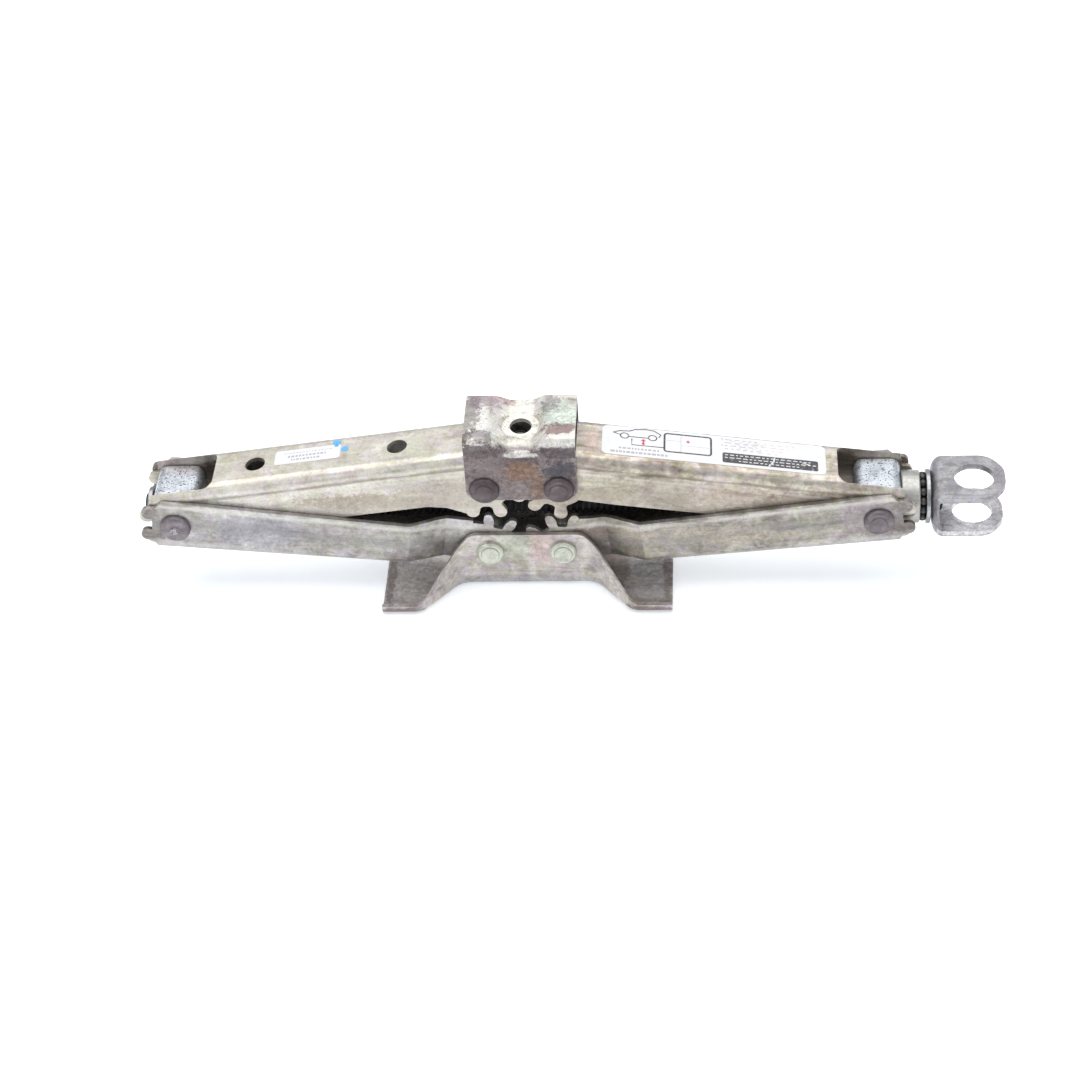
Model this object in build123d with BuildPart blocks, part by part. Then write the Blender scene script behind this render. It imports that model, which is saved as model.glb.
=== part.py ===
"""Scissor jack: four pressed channel arms, geared at both ends, driven by one lead screw.

Frame: millimetres, origin at the centre of the base plate's underside, +Z up,
+X along the lead screw towards the crank lug. The jack is modelled folded down.
"""

import os
from math import acos, cos, pi, radians, sin, tan

from build123d import *

os.makedirs("parts", exist_ok=True)

# ---------------------------------------------------------------- driving dimensions
SHEET = 2.3                 # pressed steel sheet
GAP = 0.3                   # side play between nested sheets
RUNNING = 0.06              # radial clearance of a riveted pivot
OPEN_PIVOT = 0.3            # radial clearance of the pivot that the joint tree leaves open
FIXED_FIT = 0.02            # radial clearance where nothing turns

ARM_LENGTH = 155.0          # gear pivot to trunnion axis
REST_ANGLE = 8.1            # slope of the folded arms, degrees
PIVOT_HALF = 18.0           # half the spacing of the geared pivots
BASE_PIVOT_Z = 22.0

UPPER_HALF = 15.6           # outer half width of the upper channels
LOWER_HALF = UPPER_HALF + GAP + SHEET
LOWER_NECK_HALF = 11.2      # outer half width of a lower arm where it enters the base
BASE_HALF = LOWER_NECK_HALF + GAP + SHEET
SADDLE_HALF = UPPER_HALF + GAP + SHEET
BEND = 4.0                  # outer bend radius of the pressings
UPPER_BEND = 5.5            # and of the upper arms
WEB_TOP = 18.6              # outer face of an upper arm's web, above its pivot line

UPPER_TEETH = 8             # teeth that a full gear of this pitch would have
LOWER_TEETH = 10
UPPER_TIP, UPPER_ROOT = 20.8, 12.8  # radii of the gears at the saddle
LOWER_TIP, LOWER_ROOT = 21.8, 13.6  # radii of the gears at the base
TIP_ROUND = 2.2             # height of a tooth's rounded tip
ROOT_FILLET = 1.1
PRESSURE_ANGLE = 14.5
TOOTH_THINNING = 0.3        # taken off each flank for backlash

RIVET_R = 5.0
JOURNAL_R = 6.0
SCREW_R = 6.5
SCREW_PASSAGE_R = SCREW_R + GAP

# ---------------------------------------------------------------- worked out from them
UPPER_INNER = UPPER_HALF - SHEET
LOWER_INNER = LOWER_HALF - SHEET
NECK_INNER = LOWER_NECK_HALF - SHEET
BASE_INNER = BASE_HALF - SHEET
TRUNNION_X = PIVOT_HALF + ARM_LENGTH * cos(radians(REST_ANGLE))
RISE = ARM_LENGTH * sin(radians(REST_ANGLE))
SCREW_Z = BASE_PIVOT_Z + RISE
SADDLE_PIVOT_Z = SCREW_Z + RISE
LEFT, RIGHT = -1, 1
UPPER, LOWER = 1, -1
THROUGH = 60.0              # long enough to cut right through any sheet
BEYOND = 40.0               # construction outlines run this far past a piece


def finish(builder, name):
    """Label a finished piece and write its STEP file."""
    builder.part.label = name
    export_step(builder.part, f"parts/{name}.step")


# ---------------------------------------------------------------- arm planes
def arm_side_plane(side, level):
    """Side view of an arm: x from gear pivot to trunnion, y towards the arm's web."""
    slope = radians(REST_ANGLE)
    along = Vector(side * cos(slope), 0, -level * sin(slope))
    webwards = Vector(side * sin(slope), 0, level * cos(slope))
    pivot_z = SADDLE_PIVOT_Z if level == UPPER else BASE_PIVOT_Z
    return Plane(origin=(side * PIVOT_HALF, 0, pivot_z), x_dir=along, z_dir=along.cross(webwards))


def arm_plan_plane(side, level):
    """Plan view of the same arm: x from gear pivot to trunnion, normal towards its web."""
    flat = arm_side_plane(side, level)
    return Plane(origin=flat.origin, x_dir=flat.x_dir, z_dir=flat.y_dir)


# ---------------------------------------------------------------- gear teeth
def polar_point(radius, angle):
    return (radius * cos(angle), radius * sin(angle))


def half_tooth_angle(radius, count):
    """Half the angle that a tooth of a gear with this many teeth takes up at this radius."""
    base_radius = PIVOT_HALF * cos(radians(PRESSURE_ANGLE))
    flank_angle = acos(min(1.0, base_radius / radius))
    at_pitch = pi / count / 2 - TOOTH_THINNING / PIVOT_HALF
    rolled = tan(radians(PRESSURE_ANGLE)) - radians(PRESSURE_ANGLE)
    return at_pitch + rolled - (tan(flank_angle) - flank_angle)


def tooth(count, tip, root):
    """A gear tooth that points along +X, with involute flanks and a round tip."""
    base_radius = PIVOT_HALF * cos(radians(PRESSURE_ANGLE))
    shoulder = tip - TIP_ROUND
    heights = [base_radius, (base_radius + shoulder) / 2, shoulder]
    upper_flank = [polar_point(height, half_tooth_angle(height, count)) for height in heights]
    lower_flank = [(x, -y) for x, y in upper_flank]
    foot = polar_point(root - 1.0, half_tooth_angle(base_radius, count))
    mirrored_foot = (foot[0], -foot[1])
    with BuildSketch() as tooth_sketch:
        with BuildLine():
            Line(mirrored_foot, lower_flank[0])
            Spline(*lower_flank)
            ThreePointArc(lower_flank[-1], (tip, 0), upper_flank[-1])
            Spline(*reversed(upper_flank))
            Line(upper_flank[0], foot)
            Line(foot, mirrored_foot)
        make_face()
    return tooth_sketch.sketch


def toothed_disc(count, tip, root, directions, root_fillet):
    """A disc with round-rooted teeth that point in these directions."""
    with BuildSketch() as disc:
        Circle(root)
        for direction in directions:
            add(tooth(count, tip, root), rotation=direction)
        corners = disc.vertices().filter_by(lambda corner: abs(Vector(corner).length - root) < 0.01)
        fillet(corners.filter_by(lambda corner: corner.X < root - 0.01), root_fillet)
    return disc.sketch


def tooth_directions(pitches, count):
    """Side plane angles of the teeth that lie this many pitches from the line of centres."""
    return [180 + REST_ANGLE + 360 * pitch / count for pitch in pitches]


HEEL_FOOT, HEEL_END = 21.0, 30.0    # along the arm, where a heel's slope levels out


def heel(direction, depth, edge_depth):
    """Add the slope that backs a gear's last tooth and runs out into the flange's edge."""
    heel_tip = polar_point(depth, radians(direction))
    Polygon((0, 0), heel_tip, (HEEL_FOOT, -edge_depth - 2), (HEEL_END, -edge_depth), (HEEL_END, 0),
            align=None)


# ---------------------------------------------------------------- channel arms
FLANGE_END = ARM_LENGTH + 8.6       # along the arm
LUG_CENTRE = ARM_LENGTH + 13.4
LUG_RISE = 6.7              # the two end lugs stand this far above and below the axis
LUG_R = 3.5
NOTCH_START = ARM_LENGTH - 22.5
NOTCH_CORNER_R = 5.0
WEB_HOLE_R = 5.0
RIM_END = 20.0              # along a lower arm, where the flat plate behind its gear ends
NECK_END = 23.0             # along a lower arm, where its drawn-in neck begins to widen
SHOULDER_START = 40.0       # and where it has its full width
UPPER_EDGE_DEPTH = 8.5      # an upper flange's free edge lies this far below the pivot line
LOWER_EDGE_RISE = 14.8      # a lower flange's free edge lies this far above it
NECK_RISE = 16.8            # and this far at the neck


def end_lugs():
    """Add the two blunt lugs at the outer end of a flange to the current sketch."""
    for rise in (-LUG_RISE, LUG_RISE):
        with Locations((LUG_CENTRE, rise)):
            Circle(LUG_R)
        with Locations((LUG_CENTRE - 6, rise)):
            Rectangle(12, 2 * LUG_R)


def long_bend_edges(builder, side_plane, span):
    """Pick the two long edges where a channel's web meets its flanges."""
    def webward(edge):
        return side_plane.to_local_coords(edge.center()).Y

    lengthwise = builder.edges().filter_by(lambda edge: edge.length > span)
    return lengthwise.group_by(webward)[-1]


def make_upper_arm(name, side, pitches, heel_depth, web_holes):
    """Upper arm: a channel open downwards, with teeth at the saddle end of both flanges."""
    side_plane = arm_side_plane(side, UPPER)
    plan_plane = arm_plan_plane(side, UPPER)
    directions = tooth_directions(pitches, UPPER_TEETH)
    web_start = 6.0

    with BuildPart() as cavity:
        with BuildSketch(side_plane):
            with BuildLine():
                Polyline((-BEYOND, BEYOND), (web_start, BEYOND), (web_start, WEB_TOP - SHEET),
                         (ARM_LENGTH + BEYOND, WEB_TOP - SHEET), (ARM_LENGTH + BEYOND, -BEYOND),
                         (-BEYOND, -BEYOND), close=True)
            make_face()
        extrude(amount=UPPER_INNER, both=True)
        fillet(long_bend_edges(cavity, side_plane, ARM_LENGTH), UPPER_BEND - SHEET)

    with BuildPart() as arm:
        with BuildSketch(side_plane):
            with BuildLine():
                Polyline((0, WEB_TOP), (FLANGE_END, WEB_TOP), (FLANGE_END + 3, 9.0),
                         (FLANGE_END + 3, -9.0), (FLANGE_END - 1, -UPPER_EDGE_DEPTH - 3.5),
                         (ARM_LENGTH - 14, -UPPER_EDGE_DEPTH), (28, -UPPER_EDGE_DEPTH),
                         (0, -UPPER_EDGE_DEPTH + 1), close=True)
            make_face()
        extrude(amount=UPPER_HALF, both=True)
        fillet(long_bend_edges(arm, side_plane, ARM_LENGTH - 5), UPPER_BEND)
        add(cavity.part, mode=Mode.SUBTRACT)
        for face_side in (-1, 1):
            with BuildSketch(side_plane.offset(face_side * UPPER_INNER)):
                add(toothed_disc(UPPER_TEETH, UPPER_TIP, UPPER_ROOT, directions, 2 * ROOT_FILLET))
                if heel_depth:
                    heel(directions[-1], heel_depth, UPPER_EDGE_DEPTH)
                end_lugs()
            extrude(amount=face_side * SHEET)
        with BuildSketch(plan_plane):
            with Locations((NOTCH_START + THROUGH / 2, 0)):
                RectangleRounded(THROUGH, 2 * UPPER_INNER, NOTCH_CORNER_R)
        extrude(amount=THROUGH, mode=Mode.SUBTRACT)
        gear_hole = RIVET_R + (RUNNING if side == LEFT else OPEN_PIVOT)
        with BuildSketch(side_plane):
            Circle(gear_hole)
            with Locations((ARM_LENGTH, 0)):
                Circle(JOURNAL_R + RUNNING)
        extrude(amount=THROUGH, both=True, mode=Mode.SUBTRACT)
        if web_holes:
            with BuildSketch(plan_plane):
                with Locations(*[(reach, 0) for reach in web_holes]):
                    Circle(WEB_HOLE_R)
            extrude(amount=THROUGH, mode=Mode.SUBTRACT)
    finish(arm, name)


def lower_plan(half_at_end, half_at_neck):
    """Plan outline of a lower arm, drawn in at the neck so that it fits inside the base."""
    Polygon((-BEYOND, -half_at_neck), (NECK_END, -half_at_neck), (SHOULDER_START, -half_at_end),
            (ARM_LENGTH + BEYOND, -half_at_end), (ARM_LENGTH + BEYOND, half_at_end),
            (SHOULDER_START, half_at_end), (NECK_END, half_at_neck), (-BEYOND, half_at_neck),
            align=None)


def make_lower_arm(name, side, pitches, heel_depth):
    """Lower arm: a channel open upwards that tapers and narrows towards the base."""
    side_plane = arm_side_plane(side, LOWER)
    plan_plane = arm_plan_plane(side, LOWER)
    directions = tooth_directions(pitches, LOWER_TEETH)
    web_near, web_far = 9.0, 15.3        # web depth at the neck and at the trunnion
    web_start = 14.0
    valley_end = 6.0 if heel_depth else 0.0     # the flange fills the gear's rim from here on

    with BuildPart() as cavity:
        with BuildSketch(side_plane):
            near, far = web_near - SHEET, web_far - SHEET
            with BuildLine():
                Polyline((-BEYOND, BEYOND), (web_start, BEYOND), (web_start, near), (FLANGE_END, far),
                         (ARM_LENGTH + BEYOND, far), (ARM_LENGTH + BEYOND, -BEYOND),
                         (-BEYOND, -BEYOND), close=True)
            make_face()
        extrude(amount=LOWER_HALF, both=True)
        with BuildSketch(plan_plane):
            lower_plan(LOWER_INNER, NECK_INNER)
        extrude(amount=THROUGH, both=True, mode=Mode.INTERSECT)

    with BuildPart() as arm:
        with BuildSketch(side_plane):
            with BuildLine():
                Polyline((10, web_near), (FLANGE_END - 1, web_far), (FLANGE_END + 3, 9.0),
                         (FLANGE_END + 3, -9.0), (FLANGE_END - 1, -LOWER_EDGE_RISE + 1.0),
                         (ARM_LENGTH - 12, -LOWER_EDGE_RISE), (SHOULDER_START + 2, -LOWER_EDGE_RISE),
                         (NECK_END + 4, -NECK_RISE), (10, -NECK_RISE), close=True)
            make_face()
        extrude(amount=LOWER_HALF, both=True)
        with BuildSketch(plan_plane):
            lower_plan(LOWER_HALF, LOWER_NECK_HALF)
        extrude(amount=THROUGH, both=True, mode=Mode.INTERSECT)
        web_face = arm.faces().sort_by(lambda face: side_plane.to_local_coords(face.center()).Y)[-1]
        side_edges = web_face.edges().filter_by(lambda edge: abs(edge.tangent_at(0.5).Y) < 0.9)
        fillet(side_edges, BEND)
        add(cavity.part, mode=Mode.SUBTRACT)
        for face_side in (-1, 1):
            with BuildSketch(side_plane.offset(face_side * NECK_INNER)):
                add(toothed_disc(LOWER_TEETH, LOWER_TIP, LOWER_ROOT, directions, ROOT_FILLET))
                if heel_depth:
                    heel(directions[-1], heel_depth, NECK_RISE - 2.5)
                with Locations(((RIM_END + valley_end) / 2, (web_near - NECK_RISE) / 2)):
                    Rectangle(RIM_END - valley_end, web_near + NECK_RISE - 3)
            extrude(amount=face_side * SHEET)
            with BuildSketch(side_plane.offset(face_side * LOWER_INNER)):
                end_lugs()
            extrude(amount=face_side * SHEET)
        with BuildSketch(plan_plane):
            with Locations((NOTCH_START + THROUGH / 2, 0)):
                RectangleRounded(THROUGH, 2 * LOWER_INNER, NOTCH_CORNER_R)
        extrude(amount=THROUGH, mode=Mode.SUBTRACT)
        with BuildSketch(side_plane):
            Circle(RIVET_R + RUNNING)
            with Locations((ARM_LENGTH, 0)):
                Circle(JOURNAL_R + RUNNING)
        extrude(amount=THROUGH, both=True, mode=Mode.SUBTRACT)
    finish(arm, name)


make_upper_arm("upper_arm_left", LEFT, [-0.5, 0.5, 1.5, 2.5], heel_depth=19.5, web_holes=[40.6, 111.9])
make_upper_arm("upper_arm_right", RIGHT, [0, 1, 2], heel_depth=0, web_holes=[])
make_lower_arm("lower_arm_left", LEFT, [0.5, 1.5, 2.5], heel_depth=0)
make_lower_arm("lower_arm_right", RIGHT, [0, 1, 2, 3], heel_depth=19.5)


# ---------------------------------------------------------------- base plate
BASE_HALF_LENGTH = 71.5
FOOT_HALF_WIDTH = 35.5
FOOT_START = 51.5           # the wings reach the feet here, along X
WAIST_HALF = 33.0           # the narrow waist between the wings
BASE_CHEEK_TOP = BASE_PIVOT_Z + 10.8
FOOT_LIP = 5.5
CHEEK_TOP_HALF = 27.5       # half length of the cheeks' level top edge
CHEEK_CORNER_R = 7.0
FOOT_CORNER_R = 8.0         # where the wings' top edge runs out into the foot's lip
WAIST_PLAN_R = 12.0         # plan corners at the waist and at the feet
FOOT_PLAN_R = 9.0


def base_outline(spread):
    """Plan of the base plate, its walls moved outwards by spread."""
    waist, foot = BASE_HALF + spread, FOOT_HALF_WIDTH + spread
    quarter = [(WAIST_HALF, waist), (FOOT_START, foot), (BASE_HALF_LENGTH, foot)]
    right_front = [(x, -y) for x, y in reversed(quarter)]
    left_front = [(-x, -y) for x, y in quarter]
    left_back = [(-x, y) for x, y in reversed(quarter)]
    Polygon(*quarter, *right_front, *left_front, *left_back, align=None)


def round_plan_corners(sketch, waist_radius, foot_radius):
    """Round the plan corners where the wings leave the waist and reach the feet."""
    at_waist = sketch.vertices().filter_by(lambda corner: abs(corner.X) < WAIST_HALF + 1)
    fillet(at_waist, waist_radius)
    at_foot = sketch.vertices().filter_by(lambda corner: abs(abs(corner.X) - FOOT_START) < 1)
    fillet(at_foot, foot_radius)


with BuildPart() as base_cavity:
    with BuildSketch(Plane.XY.offset(SHEET)) as cavity_plan:
        base_outline(-SHEET)
        round_plan_corners(cavity_plan, WAIST_PLAN_R + SHEET, FOOT_PLAN_R - SHEET)
        with Locations((BASE_HALF_LENGTH, 0), (-BASE_HALF_LENGTH, 0)):
            Rectangle(20, 2 * (FOOT_HALF_WIDTH - SHEET))
    extrude(amount=THROUGH)
    floor_edges = base_cavity.faces().sort_by(Axis.Z)[0].edges()
    fillet(floor_edges.filter_by(lambda edge: abs(edge.center().X) < BASE_HALF_LENGTH), BEND - SHEET)

with BuildPart() as base_plate:
    with BuildSketch() as tray_plan:
        base_outline(0)
        round_plan_corners(tray_plan, WAIST_PLAN_R, FOOT_PLAN_R)
    extrude(amount=BASE_CHEEK_TOP)
    floor_edges = base_plate.faces().sort_by(Axis.Z)[0].edges()
    fillet(floor_edges.filter_by(lambda edge: abs(edge.center().X) < BASE_HALF_LENGTH - 1), BEND)
    add(base_cavity.part, mode=Mode.SUBTRACT)
    with BuildSketch(Plane.XZ) as wall_heights:
        half = [(BASE_HALF_LENGTH, 0), (BASE_HALF_LENGTH, FOOT_LIP), (FOOT_START + 1, FOOT_LIP),
                (CHEEK_TOP_HALF, BASE_CHEEK_TOP)]
        Polygon(*half, *[(-x, z) for x, z in reversed(half)], align=None)
        cheek_corners = wall_heights.vertices().filter_by(lambda corner: corner.Y > BASE_CHEEK_TOP - 1)
        fillet(cheek_corners, CHEEK_CORNER_R)
        lip_corners = wall_heights.vertices().filter_by(lambda corner: abs(corner.X) == FOOT_START + 1)
        fillet(lip_corners, FOOT_CORNER_R)
    extrude(amount=THROUGH, both=True, mode=Mode.INTERSECT)
    with BuildSketch(Plane.XZ):
        with Locations((-PIVOT_HALF, BASE_PIVOT_Z), (PIVOT_HALF, BASE_PIVOT_Z)):
            Circle(RIVET_R + FIXED_FIT)
    extrude(amount=THROUGH, both=True, mode=Mode.SUBTRACT)
finish(base_plate, "base_plate")

# ---------------------------------------------------------------- saddle
SADDLE_HALF_LENGTH = 26.8
SADDLE_TOP = BASE_PIVOT_Z + 74.3
SADDLE_BOTTOM = SADDLE_PIVOT_Z - 6.5
SADDLE_INNER = SADDLE_HALF - SHEET
GROOVE_LEFT = 16.0          # the groove's long slope begins this far left of the middle
GROOVE_RIGHT = 12.5
GROOVE_FLOOR_HALF = 5.8
GROOVE_FRONT_DEPTH = 8.3
GROOVE_BACK_DEPTH = 4.0
SHOULDER_R = 6.0            # outer radius of the sheet's bend into the groove
GROOVE_FLOOR_R = 3.5        # inner radius of its bends at the groove's floor
SADDLE_HOLE_R = 5.3
DISH_R = 9.0                # flat seat pressed round the hole
DISH_RIM_R = 12.0           # where its wall runs out into the groove's flanks
DISH_WALL = 5.0
GROOVE_WIDENING = 1.0       # the underside of the groove is this much wider on either side
SADDLE_CORNER_R = 6.0
groove_reach = SADDLE_HALF + 2
groove_slope = (GROOVE_FRONT_DEPTH - GROOVE_BACK_DEPTH) / (2 * groove_reach)


def groove_section(depth, drop):
    """Add a section of the space above the saddle's sheet, or above its underside if dropped."""
    end = SADDLE_HALF_LENGTH + 3
    top = SADDLE_TOP - drop
    widening = GROOVE_WIDENING * drop / SHEET
    floor_half = GROOVE_FLOOR_HALF + widening
    with BuildSketch(mode=Mode.PRIVATE) as section:
        Polygon((-end, top + 12), (-end, top), (-GROOVE_LEFT - widening, top),
                (-floor_half, top - depth), (floor_half, top - depth), (GROOVE_RIGHT + widening, top),
                (end, top), (end, top + 12), align=None)
        near_top = section.vertices().filter_by(lambda corner: abs(corner.Y - top) < 0.01)
        fillet(near_top.filter_by(lambda corner: abs(corner.X) < end - 1), SHOULDER_R - drop)
        at_floor = section.vertices().filter_by(lambda corner: abs(corner.Y - top + depth) < 0.01)
        fillet(at_floor, GROOVE_FLOOR_R + drop)
    add(section.sketch)


def groove_solid(drop):
    """The space above the saddle's sheet: its groove is deeper at the front."""
    with BuildPart() as groove:
        with BuildSketch(Plane.XZ.offset(groove_reach)):
            groove_section(GROOVE_FRONT_DEPTH, drop)
        with BuildSketch(Plane.XZ.offset(-groove_reach)):
            groove_section(GROOVE_BACK_DEPTH, drop)
        loft(ruled=True)
    return groove.part


with BuildPart() as saddle_cavity:
    with BuildSketch(Plane.YZ):
        with Locations((0, SADDLE_TOP - SHEET - THROUGH / 2)):
            Rectangle(2 * SADDLE_INNER, THROUGH)
    extrude(amount=THROUGH, both=True)
    fillet(saddle_cavity.edges().filter_by(Axis.X).group_by(Axis.Z)[-1], BEND - SHEET)
    add(groove_solid(SHEET), mode=Mode.SUBTRACT)

hole_plane = Plane(origin=(0, 0, SADDLE_TOP - (GROOVE_FRONT_DEPTH + GROOVE_BACK_DEPTH) / 2),
                   x_dir=(1, 0, 0), z_dir=(0, -groove_slope, 1))

with BuildPart() as dish_shell:
    with BuildSketch(hole_plane.offset(-SHEET)):
        Circle(DISH_R + SHEET / 2)
    with BuildSketch(hole_plane.offset(DISH_WALL - SHEET / 2)):
        Circle(DISH_RIM_R + SHEET)
    loft()
    add(groove_solid(0), mode=Mode.SUBTRACT)

with BuildPart() as saddle:
    with BuildSketch(Plane.XZ) as saddle_front:
        with Locations((0, (SADDLE_TOP + SADDLE_BOTTOM) / 2)):
            Rectangle(2 * SADDLE_HALF_LENGTH, SADDLE_TOP - SADDLE_BOTTOM)
        fillet(saddle_front.vertices().group_by(Axis.Y)[0], SADDLE_CORNER_R)
    extrude(amount=SADDLE_HALF, both=True)
    fillet(saddle.edges().filter_by(Axis.X).group_by(Axis.Z)[-1], BEND - 1)
    add(groove_solid(0), mode=Mode.SUBTRACT)
    add(saddle_cavity.part, mode=Mode.SUBTRACT)
    add(dish_shell.part)
    with BuildSketch(hole_plane):
        Circle(DISH_R)
    with BuildSketch(hole_plane.offset(DISH_WALL)):
        Circle(DISH_RIM_R)
    loft(mode=Mode.SUBTRACT)
    with BuildSketch(hole_plane):
        Circle(SADDLE_HOLE_R)
    extrude(amount=20, both=True, mode=Mode.SUBTRACT)
    with BuildSketch(Plane.XZ):
        with Locations((-PIVOT_HALF, SADDLE_PIVOT_Z), (PIVOT_HALF, SADDLE_PIVOT_Z)):
            Circle(RIVET_R + FIXED_FIT)
    extrude(amount=THROUGH, both=True, mode=Mode.SUBTRACT)
finish(saddle, "saddle")


# ---------------------------------------------------------------- through rivets
def cross_plane(x, z):
    """A plane across the jack at this pivot, its normal towards the front."""
    return Plane(origin=(x, 0, z), x_dir=(1, 0, 0), z_dir=(0, -1, 0))


CROWN_HEIGHT = 0.6          # the low step in the middle of a closed head
CROWN_CHAMFER = 0.3
BASE_HEAD_R, BASE_HEAD_HEIGHT, BASE_HEAD_CHAMFER, BASE_CROWN_R = 6.6, 2.2, 0.8, 4.5
SADDLE_HEAD_R, SADDLE_HEAD_HEIGHT, SADDLE_HEAD_ROUND, SADDLE_CROWN_R = 7.4, 2.4, 2.0, 4.4


def end_rims(builder):
    """The outermost round edges of a rivet, front and rear."""
    rims = builder.edges().filter_by(GeomType.CIRCLE).group_by(Axis.Y)
    return rims[0] + rims[-1]


def rivet_blank(x, z, grip_half, head_r, head_height):
    """A through rivet with plain heads closed on the cheeks."""
    with BuildPart() as blank:
        with BuildSketch(cross_plane(x, z)):
            Circle(RIVET_R)
        extrude(amount=grip_half, both=True)
        for face_side in (-1, 1):
            with BuildSketch(cross_plane(x, z).offset(face_side * grip_half)):
                Circle(head_r)
            extrude(amount=face_side * head_height)
    return blank.part


def rivet_crown(x, z, half_length, crown_r):
    """The low steps in the middle of a rivet's heads."""
    with BuildPart() as crown:
        with BuildSketch(cross_plane(x, z)):
            Circle(crown_r)
        extrude(amount=half_length + CROWN_HEIGHT, both=True)
        chamfer(end_rims(crown), CROWN_CHAMFER)
        with BuildSketch(cross_plane(x, z)):
            Circle(crown_r)
        extrude(amount=half_length - 0.5, both=True, mode=Mode.SUBTRACT)
    return crown.part


for side, word in ((LEFT, "left"), (RIGHT, "right")):
    pivot_x = side * PIVOT_HALF
    with BuildPart() as base_rivet:
        add(rivet_blank(pivot_x, BASE_PIVOT_Z, BASE_HALF, BASE_HEAD_R, BASE_HEAD_HEIGHT))
        chamfer(end_rims(base_rivet), BASE_HEAD_CHAMFER)
        add(rivet_crown(pivot_x, BASE_PIVOT_Z, BASE_HALF + BASE_HEAD_HEIGHT, BASE_CROWN_R))
    finish(base_rivet, f"base_rivet_{word}")
    with BuildPart() as saddle_rivet:
        add(rivet_blank(pivot_x, SADDLE_PIVOT_Z, SADDLE_HALF, SADDLE_HEAD_R, SADDLE_HEAD_HEIGHT))
        fillet(end_rims(saddle_rivet), SADDLE_HEAD_ROUND)
        add(rivet_crown(pivot_x, SADDLE_PIVOT_Z, SADDLE_HALF + SADDLE_HEAD_HEIGHT, SADDLE_CROWN_R))
    finish(saddle_rivet, f"saddle_rivet_{word}")

# ---------------------------------------------------------------- trunnions
BLOCK_HALF_LENGTH = 11.3
BLOCK_HALF_WIDTH = UPPER_INNER - GAP
BLOCK_HALF_HEIGHT = 13.8
HEAD_START = LOWER_HALF + GAP
SPIGOT_R = 2.4
SPIGOT_LENGTH = 3.6         # beyond the inner face of the retainers
RETAINER_R, RETAINER_HEIGHT = 7.5, 2.8
PIN_HEAD_R, PIN_HEAD_HEIGHT, PIN_CROWN_R = 7.4, 2.6, 4.2
HEAD_ROUND = 2.2
BLOCK_CORNER_R = 5.0
PIN_SOCKET_DEPTH = 4.2


def trunnion_block(x):
    """The rounded block that a trunnion turns on, before its screw hole is drilled."""
    with BuildPart() as block:
        with BuildSketch(cross_plane(x, SCREW_Z)):
            RectangleRounded(2 * BLOCK_HALF_LENGTH, 2 * BLOCK_HALF_HEIGHT, BLOCK_CORNER_R)
        extrude(amount=BLOCK_HALF_WIDTH, both=True)
        fillet(block.faces().filter_by(Axis.Y).edges(), 1.2)
    return block.part


with BuildPart() as screw_passage:
    with BuildSketch(Plane.YZ):
        with Locations((0, SCREW_Z)):
            Circle(SCREW_PASSAGE_R)
    extrude(amount=2 * TRUNNION_X, both=True)


with BuildPart() as trunnion_nut:
    add(trunnion_block(-TRUNNION_X))
    with BuildSketch(cross_plane(-TRUNNION_X, SCREW_Z)):
        Circle(JOURNAL_R)
    extrude(amount=HEAD_START - 0.05, both=True)
    with BuildSketch(cross_plane(-TRUNNION_X, SCREW_Z)):
        Circle(SPIGOT_R)
    extrude(amount=HEAD_START + SPIGOT_LENGTH, both=True)
    tips = trunnion_nut.edges().filter_by(GeomType.CIRCLE).group_by(Axis.Y)
    fillet(tips[0] + tips[-1], 1.0)
    add(screw_passage.part, mode=Mode.SUBTRACT)
finish(trunnion_nut, "trunnion_nut")

for face_side, word in ((1, "front"), (-1, "rear")):
    cap_plane = cross_plane(-TRUNNION_X, SCREW_Z).offset(face_side * HEAD_START)
    with BuildPart() as retainer:
        with BuildSketch(cap_plane):
            Circle(RETAINER_R)
        extrude(amount=face_side * RETAINER_HEIGHT)
        outer_rim = retainer.edges().group_by(Axis.Y)[0 if face_side > 0 else -1]
        fillet(outer_rim, HEAD_ROUND)
        with BuildSketch(cap_plane):
            Circle(SPIGOT_R + 0.05)
        extrude(amount=10, both=True, mode=Mode.SUBTRACT)
    finish(retainer, f"nut_retainer_{word}")

with BuildPart() as trunnion_bearing:
    add(trunnion_block(TRUNNION_X))
    for face_side in (-1, 1):
        with BuildSketch(cross_plane(TRUNNION_X, SCREW_Z).offset(face_side * BLOCK_HALF_WIDTH)):
            Circle(JOURNAL_R + FIXED_FIT)
        extrude(amount=-face_side * PIN_SOCKET_DEPTH, mode=Mode.SUBTRACT)
    add(screw_passage.part, mode=Mode.SUBTRACT)
finish(trunnion_bearing, "trunnion_bearing")

for face_side, word in ((1, "front"), (-1, "rear")):
    socket_floor = BLOCK_HALF_WIDTH - PIN_SOCKET_DEPTH
    pin_plane = cross_plane(TRUNNION_X, SCREW_Z)
    with BuildPart() as bearing_pin:
        with BuildSketch(pin_plane.offset(face_side * socket_floor)):
            Circle(JOURNAL_R)
        extrude(amount=face_side * (HEAD_START - socket_floor))
        with BuildSketch(pin_plane.offset(face_side * HEAD_START)):
            Circle(PIN_HEAD_R)
        extrude(amount=face_side * PIN_HEAD_HEIGHT)
        outer_rim = bearing_pin.edges().group_by(Axis.Y)[0 if face_side > 0 else -1]
        fillet(outer_rim, HEAD_ROUND)
        with BuildSketch(pin_plane.offset(face_side * (HEAD_START + PIN_HEAD_HEIGHT))):
            Circle(PIN_CROWN_R)
        extrude(amount=face_side * CROWN_HEIGHT)
        crown_rim = bearing_pin.edges().group_by(Axis.Y)[0 if face_side > 0 else -1]
        chamfer(crown_rim, CROWN_CHAMFER)
    finish(bearing_pin, f"bearing_pin_{word}")

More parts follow.
